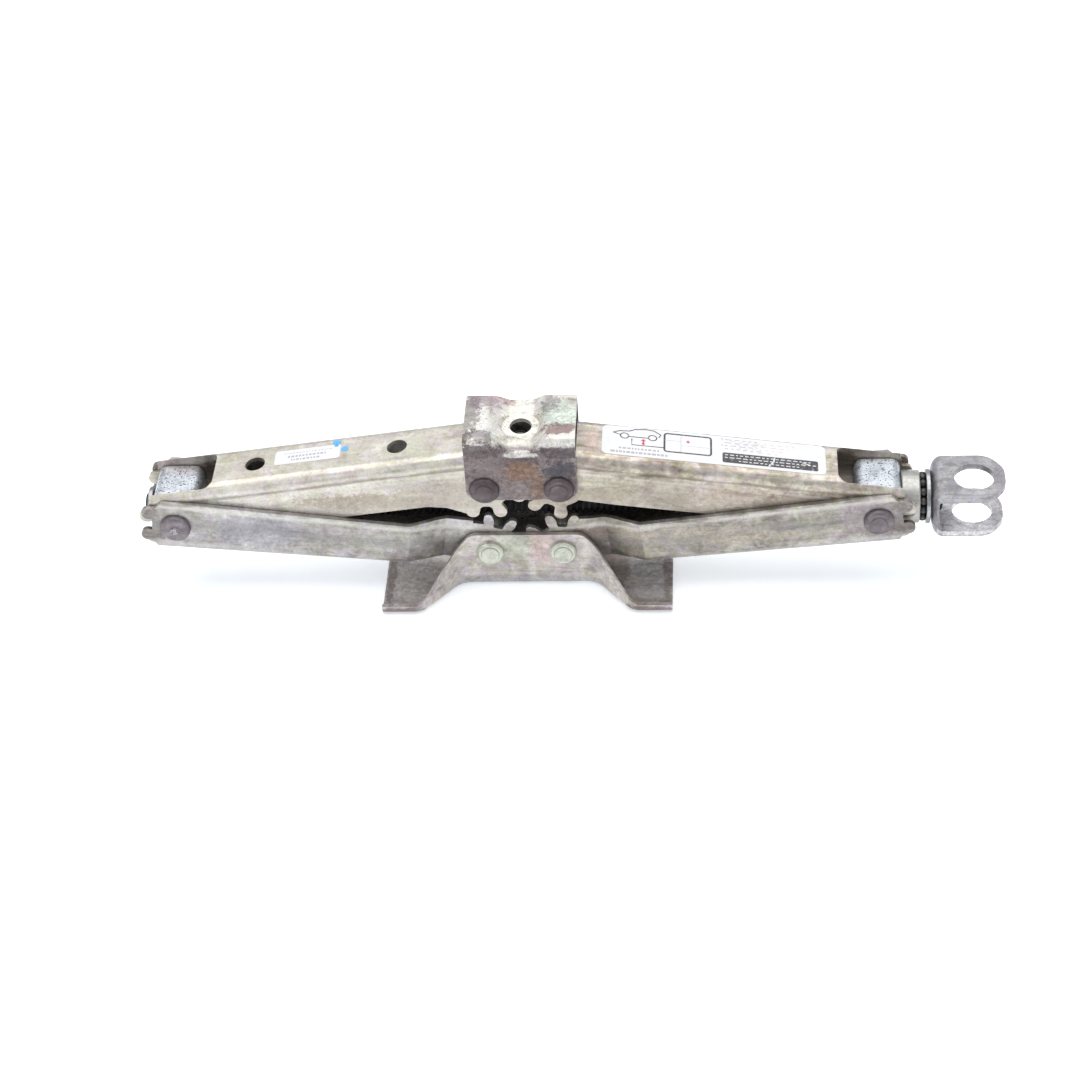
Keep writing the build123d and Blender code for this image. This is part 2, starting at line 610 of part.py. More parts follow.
# ---------------------------------------------------------------- thrust bearing
SLEEVE_START = TRUNNION_X + BLOCK_HALF_LENGTH
SLEEVE_END = SLEEVE_START + 8.9
SLEEVE_R = 13.0
BALL_R = 2.0
BALL_RING_R = 10.0
BALL_COUNT = 14
BALL_CENTRE = SLEEVE_END + 1.45
WASHER_START = SLEEVE_END + 2.9
WASHER_THICKNESS = 2.1


def screw_plane(x):
    """A plane square to the lead screw."""
    return Plane(origin=(x, 0, SCREW_Z), x_dir=(0, 1, 0), z_dir=(1, 0, 0))


def ball_track(clearance):
    """Cut the ring groove that the thrust balls run in."""
    with Locations(screw_plane(BALL_CENTRE)):
        Torus(BALL_RING_R, BALL_R + clearance, mode=Mode.SUBTRACT)


with BuildPart() as thrust_sleeve:
    with BuildSketch(screw_plane(SLEEVE_START)):
        Circle(SLEEVE_R)
        Circle(SCREW_PASSAGE_R, mode=Mode.SUBTRACT)
    extrude(amount=SLEEVE_END - SLEEVE_START)
    round_edges = thrust_sleeve.edges().filter_by(GeomType.CIRCLE)
    fillet(round_edges.filter_by(lambda edge: edge.radius > SLEEVE_R - 1), 1.0)
    ball_track(0.05)
finish(thrust_sleeve, "thrust_sleeve")

with BuildPart() as thrust_balls:
    with Locations(screw_plane(BALL_CENTRE)):
        with PolarLocations(BALL_RING_R, BALL_COUNT):
            Sphere(BALL_R)
finish(thrust_balls, "thrust_balls")

with BuildPart() as thrust_washer:
    with BuildSketch(screw_plane(WASHER_START)):
        Circle(SLEEVE_R + 0.4)
        Circle(SCREW_R + FIXED_FIT, mode=Mode.SUBTRACT)
    extrude(amount=WASHER_THICKNESS)
    round_edges = thrust_washer.edges().filter_by(GeomType.CIRCLE)
    fillet(round_edges.filter_by(lambda edge: edge.radius > SLEEVE_R), 0.5)
    ball_track(GAP)
finish(thrust_washer, "thrust_washer")

# ---------------------------------------------------------------- lead screw and crank lug
SCREW_START = -TRUNNION_X - BLOCK_HALF_LENGTH - 5.4
LUG_START = WASHER_START + WASHER_THICKNESS + 0.5
LUG_SHEET = 3.2
LUG_BEND = 5.5
LUG_NECK_R = 5.0            # the screw's end is turned down to this where the lug is riveted on
LUG_END = LUG_START + 35.3
LUG_HALF_HEIGHT = 12.0
LUG_HALF_WIDTH = 16.2
LUG_HOLE_R = 9.75
LUG_CORNER_R = 11.0
LUG_TAPER_LENGTH, LUG_TAPER_WIDTH = 7.0, 10.0   # cut off the ears' outer corners
LUG_ROOT_CORNER_R = 6.0
LUG_HOLE_X = LUG_START + 20.5

with BuildPart() as lead_screw:
    with BuildSketch(screw_plane(SCREW_START)):
        Circle(SCREW_R)
    extrude(amount=LUG_START - SCREW_START)
    chamfer(lead_screw.edges().group_by(Axis.X)[0], 1.2)
    with BuildSketch(screw_plane(LUG_START)):
        Circle(LUG_NECK_R)
    extrude(amount=LUG_SHEET)
    with BuildSketch(screw_plane(LUG_START + LUG_SHEET)):
        Circle(LUG_NECK_R + 2)
    extrude(amount=2.6)
    fillet(lead_screw.edges().group_by(Axis.X)[-1], 1.6)
finish(lead_screw, "lead_screw")

with BuildPart() as screw_end_stop:
    with BuildSketch(screw_plane(SCREW_START + 1.6)):
        Circle(8.4)
        Circle(SCREW_R + FIXED_FIT, mode=Mode.SUBTRACT)
    extrude(amount=2.4)
    round_edges = screw_end_stop.edges().filter_by(GeomType.CIRCLE)
    fillet(round_edges.filter_by(lambda edge: edge.radius > SCREW_R + 1), 0.6)
finish(screw_end_stop, "screw_end_stop")

with BuildPart() as crank_lug:
    lug_plane = Plane(origin=(LUG_START, 0, SCREW_Z), x_dir=(1, 0, 0), z_dir=(0, -1, 0))
    lug_length = LUG_END - LUG_START
    with BuildSketch(lug_plane) as strap:
        with Locations((lug_length / 2, 0)):
            Rectangle(lug_length, 2 * LUG_HALF_HEIGHT)
        fillet(strap.vertices().group_by(Axis.X)[0], LUG_BEND)
    extrude(amount=LUG_HALF_WIDTH, both=True)
    with BuildSketch(lug_plane) as strap_inside:
        with Locations((LUG_SHEET + lug_length / 2, 0)):
            Rectangle(lug_length, 2 * (LUG_HALF_HEIGHT - LUG_SHEET))
        fillet(strap_inside.vertices().group_by(Axis.X)[0], 1.6)
    extrude(amount=LUG_HALF_WIDTH, both=True, mode=Mode.SUBTRACT)
    with BuildSketch(Plane.XY.offset(SCREW_Z)) as lug_plan:
        upper_half = [(LUG_START, LUG_HALF_WIDTH), (LUG_END - LUG_TAPER_LENGTH, LUG_HALF_WIDTH),
                      (LUG_END, LUG_HALF_WIDTH - LUG_TAPER_WIDTH)]
        Polygon(*upper_half, *[(x, -y) for x, y in reversed(upper_half)], align=None)
        fillet(lug_plan.vertices().group_by(Axis.X)[0], LUG_ROOT_CORNER_R)
        end_corners = lug_plan.vertices().filter_by(lambda corner: corner.X > LUG_END - LUG_TAPER_LENGTH - 1)
        fillet(end_corners, LUG_CORNER_R)
    extrude(amount=THROUGH, both=True, mode=Mode.INTERSECT)
    with BuildSketch(Plane.XY.offset(SCREW_Z)):
        with Locations((LUG_HOLE_X, 0)):
            Circle(LUG_HOLE_R)
    extrude(amount=THROUGH, both=True, mode=Mode.SUBTRACT)
    with BuildSketch(screw_plane(LUG_START)):
        Circle(LUG_NECK_R + FIXED_FIT)
    extrude(amount=10, both=True, mode=Mode.SUBTRACT)
finish(crank_lug, "crank_lug")

# ---------------------------------------------------------------- labels
LABEL_THICKNESS = 0.2


def make_label(name, side, along, across, length, width, corner):
    """A paper label stuck on the web of an upper arm."""
    with BuildPart() as label:
        with BuildSketch(arm_plan_plane(side, UPPER).offset(WEB_TOP)):
            with Locations((along, across)):
                RectangleRounded(length, width, corner)
        extrude(amount=LABEL_THICKNESS)
    finish(label, name)


make_label("instruction_label", RIGHT, along=72.5, across=0.3, length=108.5, width=21.8, corner=3.0)
make_label("small_label", LEFT, along=85.5, across=-2.0, length=33.0, width=10.5, corner=1.5)
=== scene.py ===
"""Folded scissor jack: finishes for the CAD pieces, a real screw thread and plain printed labels.

Everything is in metres in the row frame. Material coordinates are in millimetres.
"""

import math
import random

import bmesh
import bpy
from mathutils import Matrix, Vector


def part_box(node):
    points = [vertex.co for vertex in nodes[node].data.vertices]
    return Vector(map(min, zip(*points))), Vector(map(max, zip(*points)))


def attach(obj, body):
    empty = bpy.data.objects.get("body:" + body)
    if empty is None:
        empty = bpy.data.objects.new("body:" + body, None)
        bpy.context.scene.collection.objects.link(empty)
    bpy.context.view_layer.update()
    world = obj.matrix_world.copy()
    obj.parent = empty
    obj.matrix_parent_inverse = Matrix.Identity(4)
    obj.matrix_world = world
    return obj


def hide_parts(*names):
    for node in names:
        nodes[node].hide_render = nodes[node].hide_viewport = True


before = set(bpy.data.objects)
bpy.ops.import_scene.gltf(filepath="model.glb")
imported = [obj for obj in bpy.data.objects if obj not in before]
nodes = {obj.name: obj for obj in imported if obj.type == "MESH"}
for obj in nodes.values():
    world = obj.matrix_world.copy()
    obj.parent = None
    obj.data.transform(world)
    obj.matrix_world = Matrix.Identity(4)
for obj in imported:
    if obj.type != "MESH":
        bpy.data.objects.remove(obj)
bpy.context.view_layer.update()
scene = bpy.context.scene
MM = 0.001


def centre(node):
    low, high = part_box(node)
    return (Vector(low) + Vector(high)) / 2


# ---------------------------------------------------------------- shader building
class Net:
    """A short way of writing a material's nodes."""

    def __init__(self, name):
        self.material = bpy.data.materials.new(name)
        self.material.use_nodes = True
        self.tree = self.material.node_tree
        self.shader = self.tree.nodes["Principled BSDF"]

    def put(self, socket, value):
        if isinstance(value, bpy.types.NodeSocket):
            self.tree.links.new(value, socket)
        elif isinstance(value, (tuple, list)) and len(value) == 3 and socket.type == "RGBA":
            socket.default_value = (*value, 1.0)
        else:
            socket.default_value = value

    def node(self, kind, inputs=(), output=0, **settings):
        made = self.tree.nodes.new(kind)
        for key, value in settings.items():
            setattr(made, key, value)
        for key, value in dict(inputs).items():
            self.put(made.inputs[key], value)
        return made.outputs[output]

    def math(self, operation, first, second=0.0, clamp=False):
        return self.node("ShaderNodeMath", {0: first, 1: second}, operation=operation, use_clamp=clamp)

    def span(self, value, low, high, to_low=0.0, to_high=1.0, smooth=True):
        """value between low and high, as a number between to_low and to_high."""
        kind = "SMOOTHSTEP" if smooth else "LINEAR"
        names = {"Value": value, "From Min": low, "From Max": high, "To Min": to_low, "To Max": to_high}
        return self.node("ShaderNodeMapRange", names, interpolation_type=kind, clamp=True)

    def mix(self, amount, first, second, blend="MIX"):
        made = self.tree.nodes.new("ShaderNodeMix")
        made.data_type = "RGBA"
        made.blend_type = blend
        self.put(made.inputs[0], amount)
        self.put(made.inputs[6], first)
        self.put(made.inputs[7], second)
        return made.outputs[2]

    def place(self, turn=0.0, stretch=(1, 1, 1), shift=(0, 0, 0)):
        """The piece's own millimetres, with Z square to an arm of this slope, then stretched."""
        own = self.node("ShaderNodeTexCoord", output=3)
        turned = self.node("ShaderNodeMapping", {
            "Vector": own, "Rotation": (0, math.radians(turn), 0), "Scale": (1000, 1000, 1000)})
        return self.node("ShaderNodeMapping", {"Vector": turned, "Location": shift, "Scale": stretch})

    def noise(self, where, size, detail=3.0, rough=0.55, warp=0.0, output=0):
        """Clouds whose features are about this many millimetres across."""
        return self.node("ShaderNodeTexNoise", {
            "Vector": where, "Scale": 1.0 / size, "Detail": detail, "Roughness": rough,
            "Distortion": warp}, output=output)

    def ramp(self, value, stops):
        made = self.tree.nodes.new("ShaderNodeValToRGB")
        self.put(made.inputs[0], value)
        band = made.color_ramp
        while len(band.elements) < len(stops):
            band.elements.new(0.5)
        for element, (position, colour) in zip(band.elements, stops):
            element.position = position
            element.color = (*colour, 1.0)
        return made.outputs[0]

    def edges(self, radius, threshold=0.02, full=0.25):
        """1 on outward and inward corners, from how far a rounded normal leans away."""
        rounded = self.node("ShaderNodeBevel", {"Radius": radius * MM}, samples=6)
        plain = self.node("ShaderNodeNewGeometry", output=1)
        likeness = self.node("ShaderNodeVectorMath", {0: rounded, 1: plain}, output=1,
                             operation="DOT_PRODUCT")
        return self.span(self.math("SUBTRACT", 1.0, likeness), threshold, full)

    def hollows(self, reach):
        """1 in the open, falling towards 0 deep in corners of the same piece."""
        return self.node("ShaderNodeAmbientOcclusion", {"Distance": reach * MM}, output=1,
                         samples=6, only_local=True)

    def patch(self, where, middle, radii, ragged=0.5, size=6.0, soft=0.5):
        """1 inside a ragged oval round middle, in millimetres, 0 outside."""
        away = self.node("ShaderNodeVectorMath", {0: where, 1: middle}, operation="SUBTRACT")
        scaled = self.node("ShaderNodeVectorMath", {0: away, 1: radii}, operation="DIVIDE")
        reach = self.node("ShaderNodeVectorMath", {0: scaled}, operation="LENGTH", output=1)
        broad = self.math("SUBTRACT", self.noise(where, size, 6.0, 0.75, 0.8), 0.5)
        close = self.math("SUBTRACT", self.noise(where, size / 4, 4.0, 0.8), 0.5)
        broad = self.math("MULTIPLY", broad, 3.2 * ragged)
        close = self.math("MULTIPLY", close, 1.6 * ragged)
        border = self.math("ADD", reach, self.math("ADD", broad, close))
        return self.span(border, 1.0 + soft / 2, 1.0 - soft / 2)


def three_tones(dark, middle, light):
    return ((0.0, dark), (0.5, middle), (1.0, light))


def four_tones(darkest, dark, light, lightest):
    return ((0.0, darkest), (0.35, dark), (0.65, light), (1.0, lightest))


def steel(name, tones, streak_turn=0.0, tints=(), tint_strength=0.5, grime_and_shade_colour=(0.075, 0.058, 0.045),
          dirt_amount=0.5, bare=(0.62, 0.6, 0.56), wear=0.6, speckle=0.35, patches=(), metal=0.75,
          gloss=(0.3, 0.55), spangle=0.0, grain=0.12, dents=0.25, cavity=28, spot_level=0.66,
          painted_bands=()):
    """Worn plated steel, with painted shade darkening its corners and hollows.

    tones: ramp of the base colour. tints: thin interference colours of the plating.
    bare, wear: colour and amount of the rubbed edges. gloss: least and greatest roughness.
    patches: (colour, middle, radii, ragged, strength) ovals at fixed places: stains, and on some pieces
    painted light and painted shade.
    cavity: how far, in millimetres, the painted shade in corners looks for a wall across from it.
    spot_level: noise level above which there is a dark spot, so a higher one gives fewer spots.
    painted_bands: (colour, height, half width, strength) bands of painted light and painted shade along
    the arm, height square to it.
    """
    net = Net(name)
    where = net.place()
    along = net.place(streak_turn, (0.16, 1.0, 1.0))
    clouds = net.noise(where, 16, 5.0, 0.6, 0.6)
    streaks = net.noise(along, 2.6, 4.0, 0.6, 0.3)
    fine = net.noise(where, 1.4, 4.0, 0.65)
    mottle = net.noise(where, 5.5, 4.0, 0.6, 1.0)
    level = net.math("ADD", net.math("MULTIPLY", clouds, 0.4), net.math("MULTIPLY", streaks, 0.25))
    level = net.math("ADD", level, net.math("MULTIPLY", mottle, 0.35))
    colour = net.ramp(net.span(level, 0.36, 0.64, smooth=False), tones)
    if tints:
        film = net.noise(net.place(streak_turn, (0.7, 1.0, 1.0), (13, 5, 7)), 7, 4.0, 0.6, 1.6)
        bands = net.ramp(film, tints)
        colour = net.mix(tint_strength, colour, bands, "OVERLAY")
    for shade, middle, radii, ragged, strength in patches:
        stain = net.patch(where, middle, radii, ragged)
        lively = net.ramp(net.noise(where, 2.6, 5.0, 0.8, 0.6), (
            (0.3, tuple(0.45 * part for part in shade)), (0.5, shade),
            (0.7, tuple(min(1.0, 1.5 * part + 0.03) for part in shade))))
        colour = net.mix(net.math("MULTIPLY", stain, strength), colour, lively)
    # Painted highlight and painted shade: bands of colour at set heights across the arm.
    if painted_bands:
        wavy = net.noise(along, 5, 4.0, 0.7)
        height_along = net.node("ShaderNodeSeparateXYZ", {"Vector": net.place(streak_turn)}, output=2)
        for shade, level_z, half_width, strength in painted_bands:
            off = net.math("ABSOLUTE", net.math("SUBTRACT", height_along, level_z))
            waves = net.math("MULTIPLY", net.math("SUBTRACT", wavy, 0.5), 2.4 * half_width)
            off = net.math("ADD", off, waves)
            band = net.math("MULTIPLY", net.span(off, half_width, 0.0), strength)
            colour = net.mix(band, colour, shade)
    colour = net.mix(net.span(fine, 0.42, 0.72, 0.0, 0.22), colour, (0.30, 0.275, 0.24), "MULTIPLY")
    grime = net.noise(along, 7, 5.0, 0.7, 0.8)
    grime = net.math("MULTIPLY", net.span(grime, 0.52, 0.72), dirt_amount)
    # Painted shade: darker towards corners and hollows of the same piece, mixed in with the grime
    # colour.
    painted_corner_shade = net.span(net.hollows(cavity), 0.72, 0.42, 0.0, 0.93)
    grime_and_corner_shade = net.math("MAXIMUM", grime, painted_corner_shade)
    colour = net.mix(grime_and_corner_shade, colour, grime_and_shade_colour)
    spots = net.noise(net.place(shift=(3, 8, 21)), 0.9, 2.0, 0.4)
    spots = net.math("MULTIPLY", net.span(spots, spot_level, spot_level + 0.08), speckle)
    colour = net.mix(spots, colour, (0.07, 0.055, 0.045))
    chipped = net.math("MULTIPLY", net.edges(0.55), net.span(net.noise(where, 3.2, 4.0), 0.36, 0.6))
    chipped = net.math("MULTIPLY", chipped, wear)
    colour = net.mix(chipped, colour, bare)
    net.put(net.shader.inputs["Base Color"], colour)
    shine = net.math("SUBTRACT", metal, net.math("MULTIPLY", grime_and_corner_shade, 0.45))
    net.put(net.shader.inputs["Metallic"], shine)
    dull = net.span(net.noise(along, 4.0, 4.0, 0.6), 0.3, 0.7, gloss[0], gloss[1])
    dull = net.math("ADD", dull, net.math("MULTIPLY", grime_and_corner_shade, 0.25), True)
    net.put(net.shader.inputs["Roughness"], dull)
    height = net.math("MULTIPLY", net.noise(where, 22, 3.0, 0.5), 1.6 * dents)
    height = net.math("ADD", height, net.math("MULTIPLY", streaks, 0.28 * grain))
    height = net.math("ADD", height, net.math("MULTIPLY", fine, grain))
    height = net.math("SUBTRACT", height, net.math("MULTIPLY", spots, 0.1))
    if spangle:
        crystals = net.node("ShaderNodeTexVoronoi", {"Vector": where, "Scale": 0.45}, output=1)
        crystals = net.node("ShaderNodeSeparateColor", {"Color": crystals})
        height = net.math("ADD", height, net.math("MULTIPLY", crystals, spangle))
    corner = net.node("ShaderNodeBevel", {"Radius": 0.25 * MM}, samples=4)
    bump = net.node("ShaderNodeBump", {"Height": height, "Distance": 0.4 * MM, "Strength": 0.55,
                                       "Normal": corner})
    net.put(net.shader.inputs["Normal"], bump)
    return net.material


INTERFERENCE = ((0.30, (0.54, 0.50, 0.46)), (0.42, (0.53, 0.52, 0.38)), (0.49, (0.47, 0.51, 0.46)),
                (0.55, (0.60, 0.46, 0.50)), (0.64, (0.48, 0.48, 0.58)))
RUST = (0.20, 0.115, 0.075)
DARK_PATINA = (0.085, 0.062, 0.066)


def paint(material, *names):
    """Give these CAD nodes one material."""
    for name in names:
        for slot in nodes[name].material_slots:
            slot.material = material


# ---------------------------------------------------------------- sheet steel finishes
saddle_low, saddle_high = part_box("saddle")
saddle_top = saddle_high[2] * 1000
saddle_front = saddle_low[1] * 1000
ARM_SLOPE = 8.1              # degrees from level when folded
BEND_SHADE_LINE = (79.6, 1.5, 0.6)        # height, half width and strength of the painted shade line under the bend
BEND_HIGHLIGHT_LINE = (76.0, 1.2, 0.3)  # the painted highlight line below it
# Colour of the painted shade line under the upper arms' bend.
BEND_SHADE_COLOUR = (0.17, 0.145, 0.12)
# Painted shade over the middle of the front flanges, then the bend's painted shade line and painted
# highlight line.
upper_left_painted_bands = (
    ((0.40, 0.36, 0.31), 62.0, 20.0, 0.5),
    (BEND_SHADE_COLOUR, *BEND_SHADE_LINE),
    ((0.70, 0.68, 0.64), *BEND_HIGHLIGHT_LINE),
)
# The same painted shade and painted highlight bands, darker on the right arm.
upper_right_painted_bands = (
    ((0.33, 0.29, 0.24), 62.0, 20.0, 0.62),
    (BEND_SHADE_COLOUR, *BEND_SHADE_LINE),
    ((0.66, 0.64, 0.60), *BEND_HIGHLIGHT_LINE),
)
# Painted highlight along the top of the lower arms' flanges, painted shade across their middle and a
# painted highlight lower down.
lower_painted_bands = (
    ((0.66, 0.63, 0.57), 31.6, 2.2, 0.6),
    ((0.27, 0.255, 0.255), 22.0, 6.0, 0.5),
    ((0.58, 0.565, 0.55), 8.0, 4.0, 0.5),
)

clean = four_tones((0.40, 0.36, 0.31), (0.55, 0.515, 0.46), (0.65, 0.615, 0.565), (0.76, 0.735, 0.69))
pale = four_tones((0.22, 0.185, 0.14), (0.41, 0.365, 0.305), (0.59, 0.55, 0.485), (0.78, 0.75, 0.69))
grey = four_tones((0.18, 0.165, 0.16), (0.34, 0.32, 0.305), (0.47, 0.455, 0.445), (0.68, 0.665, 0.66))
worn = four_tones((0.15, 0.135, 0.125), (0.285, 0.265, 0.245), (0.41, 0.39, 0.365), (0.62, 0.595, 0.57))

upper_left_steel = steel(
    "upper_left_steel", clean, ARM_SLOPE, INTERFERENCE, 0.5, dirt_amount=0.15, grain=0.05,
    painted_bands=upper_left_painted_bands,
    patches=(
        ((0.62, 0.60, 0.56), (-150, -14, 52), (13, 6, 9), 0.7, 0.75),
        ((0.16, 0.10, 0.06), (-150, 13, 50), (16, 4, 9), 0.5, 0.85),
        ((0.50, 0.53, 0.40), (-50, -6, 74), (26, 12, 8), 0.6, 0.3),
        ((0.28, 0.21, 0.14), (-87, -15, 57), (24, 4, 4), 1.3, 0.6),
        ((0.40, 0.34, 0.27), (-62, -15, 55), (30, 4, 5), 0.9, 0.45),
        ((0.18, 0.15, 0.14), (-99, 4.5, 73), (4.5, 1.0, 3), 0.5, 0.8),
        ((0.38, 0.35, 0.32), (-46, -15, 66), (24, 4, 4), 0.8, 0.5),
        ((0.46, 0.36, 0.34), (-38, -15, 60), (14, 6, 9), 0.7, 0.35),
        ((0.28, 0.24, 0.22), (-150, -15, 48), (26, 5, 7), 0.9, 0.5),
    ))
upper_right_steel = steel(
    "upper_right_steel", pale, -ARM_SLOPE, INTERFERENCE, 0.55, dirt_amount=0.4, painted_bands=upper_right_painted_bands,
    patches=(
        ((0.62, 0.44, 0.42), (33, -2, 78), (5, 13, 6), 0.5, 0.55),
        ((0.52, 0.50, 0.36), (44, -15, 66), (13, 4, 8), 0.9, 0.5),
        ((0.34, 0.29, 0.24), (70, -15, 60), (14, 4, 9), 0.9, 0.55),
        ((0.50, 0.40, 0.34), (102, -15, 58), (22, 4, 7), 0.9, 0.5),
        ((0.20, 0.14, 0.11), (134, -15, 52), (20, 4, 8), 0.8, 0.7),
        ((0.17, 0.11, 0.08), (152, 13, 52), (15, 5, 10), 0.6, 0.7),
    ))
lower_left_steel = steel(
    "lower_left_steel", grey, -ARM_SLOPE, INTERFERENCE, 0.4, dirt_amount=0.4, metal=0.72,
    painted_bands=lower_painted_bands,
    patches=(
        ((0.32, 0.31, 0.36), (-132, -19, 40), (22, 8, 10), 0.7, 0.6),
        ((0.40, 0.40, 0.32), (-75, -19, 33), (30, 5, 6), 0.8, 0.35),
        ((0.10, 0.075, 0.07), (-184, 0, 44), (10, 30, 14), 0.5, 0.55),
    ))
lower_right_steel = steel(
    "lower_right_steel", worn, ARM_SLOPE, INTERFERENCE, 0.55, dirt_amount=0.45, metal=0.72,
    painted_bands=lower_painted_bands,
    patches=(
        ((0.50, 0.43, 0.33), (52, -19, 30), (14, 7, 9), 0.8, 0.6),
        ((0.16, 0.10, 0.06), (34, -12, 30), (9, 6, 6), 0.8, 0.6),
        ((0.46, 0.40, 0.31), (96, -19, 36), (34, 5, 6), 0.9, 0.5),
        ((0.37, 0.37, 0.27), (142, -19, 42), (12, 5, 8), 0.8, 0.4),
        ((0.30, 0.25, 0.27), (166, -19, 46), (14, 5, 12), 0.8, 0.5),
        ((0.10, 0.075, 0.07), (184, 0, 44), (10, 30, 14), 0.5, 0.6),
    ))
base_steel = steel(
    "base_steel", three_tones((0.28, 0.25, 0.235), (0.50, 0.465, 0.445), (0.74, 0.71, 0.685)),
    0.0, INTERFERENCE, 0.45, dirt_amount=0.35, metal=0.7, wear=0.85, bare=(0.74, 0.70, 0.60), cavity=5,
    patches=(
        ((0.58, 0.40, 0.40), (8, -16, 24), (8, 6, 12), 0.6, 0.45),
        ((0.44, 0.50, 0.36), (-6, -16, 26), (9, 6, 10), 0.6, 0.4),
        # Painted light: pale patches over the feet, lightening them where the arms shade them.
        ((0.66, 0.62, 0.60), (-62, 0, 0), (16, 28, 7), 0.9, 0.8),
        ((0.56, 0.52, 0.53), (62, 0, 0), (16, 28, 7), 0.9, 0.8),
        ((0.16, 0.11, 0.11), (-60, -35, 0), (13, 3.5, 5), 0.5, 0.8),
        ((0.16, 0.10, 0.10), (58, -35, 0), (16, 4.5, 5), 0.5, 0.8),
        ((0.24, 0.19, 0.18), (-69, 0, 0), (2.5, 36, 5), 0.6, 0.7),
        ((0.24, 0.19, 0.18), (69, 0, 0), (2.5, 36, 5), 0.6, 0.7),
        ((0.22, 0.17, 0.13), (44, -2, 3), (7, 20, 7), 0.8, 0.6),
        ((0.34, 0.34, 0.36), (0, -16, 3), (48, 8, 4), 0.3, 0.5),
    ))
saddle_steel = steel(
    "saddle_steel", ((0.0, (0.32, 0.29, 0.285)), (0.4, (0.64, 0.61, 0.58)), (1.0, (0.88, 0.87, 0.82))),
    0.0, INTERFERENCE, 0.6, dirt_amount=0.5, speckle=1.0, metal=0.45, wear=0.4, bare=(0.66, 0.63, 0.60),
    gloss=(0.35, 0.65), dents=0.5, cavity=16,
    patches=(
        ((0.74, 0.70, 0.615), (0, 0, saddle_top - 6), (12, 13, 9), 0.5, 0.75),
        ((0.55, 0.62, 0.54), (19, 1, saddle_top), (11, 10, 4), 0.8, 0.7),
        (DARK_PATINA, (-25, 2, saddle_top), (5, 18, 5), 1.3, 0.6),
        ((0.22, 0.16, 0.175), (-17, 13, saddle_top), (10, 6, 4), 1.2, 0.65),
        ((0.50, 0.34, 0.35), (-8, 16, saddle_top - 2), (8, 3, 5), 0.9, 0.6),
        (DARK_PATINA, (14, 11, saddle_top - 1), (4, 6, 4), 1.3, 0.55),
        (DARK_PATINA, (-20, -14, saddle_top), (10, 3.5, 4), 1.5, 0.6),
        ((0.19, 0.085, 0.09), (19, -10, saddle_top), (10, 4, 4), 1.2, 0.75),
        ((0.175, 0.135, 0.135), (0, saddle_front, saddle_top - 21), (38, 6, 18), 0.25, 0.95),
        ((0.19, 0.155, 0.15), (0, -saddle_front, saddle_top - 22), (38, 6, 18), 0.4, 0.9),
        # Painted shade: near black over the inside of the saddle channel.
        ((0.03, 0.028, 0.03), (0, 6, saddle_top - 26), (30, 14, 15), 0.1, 0.95),
        (DARK_PATINA, (-20, saddle_front, saddle_top - 7.5), (13, 5, 4.5), 0.8, 0.85),
        (DARK_PATINA, (20, saddle_front, saddle_top - 7.5), (13, 5, 4.5), 0.8, 0.85),
        (DARK_PATINA, (0, saddle_front, saddle_top - 13.5), (14, 5, 3.5), 0.8, 0.8),
        ((0.70, 0.67, 0.63), (18, saddle_front + 1.0, saddle_top - 3.2), (13, 3, 1.6), 1.2, 0.6),
        ((0.72, 0.68, 0.63), (0, saddle_front + 1.0, saddle_top - 9.4), (9, 3, 1.8), 0.7, 0.75),
        ((0.19, 0.155, 0.155), (-20, saddle_front, saddle_top - 16), (13, 5, 6), 1.2, 0.6),
        ((0.20, 0.165, 0.16), (0, saddle_front, saddle_top - 32), (34, 6, 7), 0.6, 0.8),
        (RUST, (1, saddle_front, saddle_top - 20), (9, 5, 6), 1.3, 0.85),
        (RUST, (8, saddle_front, saddle_top - 28), (4, 5, 8), 1.3, 0.75),
        ((0.05, 0.05, 0.062), (19, saddle_front, saddle_top - 20), (8, 5, 6), 1.3, 0.85),
        (DARK_PATINA, (22, saddle_front, saddle_top - 28), (9, 5, 9), 1.2, 0.6),
    ))
paint(upper_left_steel, "upper_arm_left")
paint(upper_right_steel, "upper_arm_right")
paint(lower_left_steel, "lower_arm_left")
paint(lower_right_steel, "lower_arm_right")
paint(base_steel, "base_plate")
paint(saddle_steel, "saddle")

# ---------------------------------------------------------------- rivets, blocks and screw finishes
dark_tones = three_tones((0.06, 0.045, 0.048), (0.11, 0.085, 0.09), (0.20, 0.165, 0.165))
light_tones = three_tones((0.46, 0.47, 0.39), (0.62, 0.63, 0.54), (0.74, 0.76, 0.66))
zinc_tones = three_tones((0.42, 0.44, 0.48), (0.62, 0.65, 0.69), (0.80, 0.82, 0.86))
plum_tones = three_tones((0.12, 0.095, 0.105), (0.20, 0.17, 0.185), (0.34, 0.31, 0.32))
oily_tones = three_tones((0.20, 0.20, 0.20), (0.36, 0.36, 0.36), (0.52, 0.52, 0.51))
sleeve_tones = three_tones((0.27, 0.26, 0.235), (0.41, 0.40, 0.37), (0.56, 0.55, 0.515))
lug_tones = three_tones((0.18, 0.17, 0.18), (0.33, 0.32, 0.34), (0.53, 0.52, 0.54))
grease_and_shade_tones = three_tones((0.006, 0.006, 0.007), (0.014, 0.013, 0.015), (0.035, 0.033, 0.035))
JOURNAL_SHADE = (0.30, 0.27, 0.29)

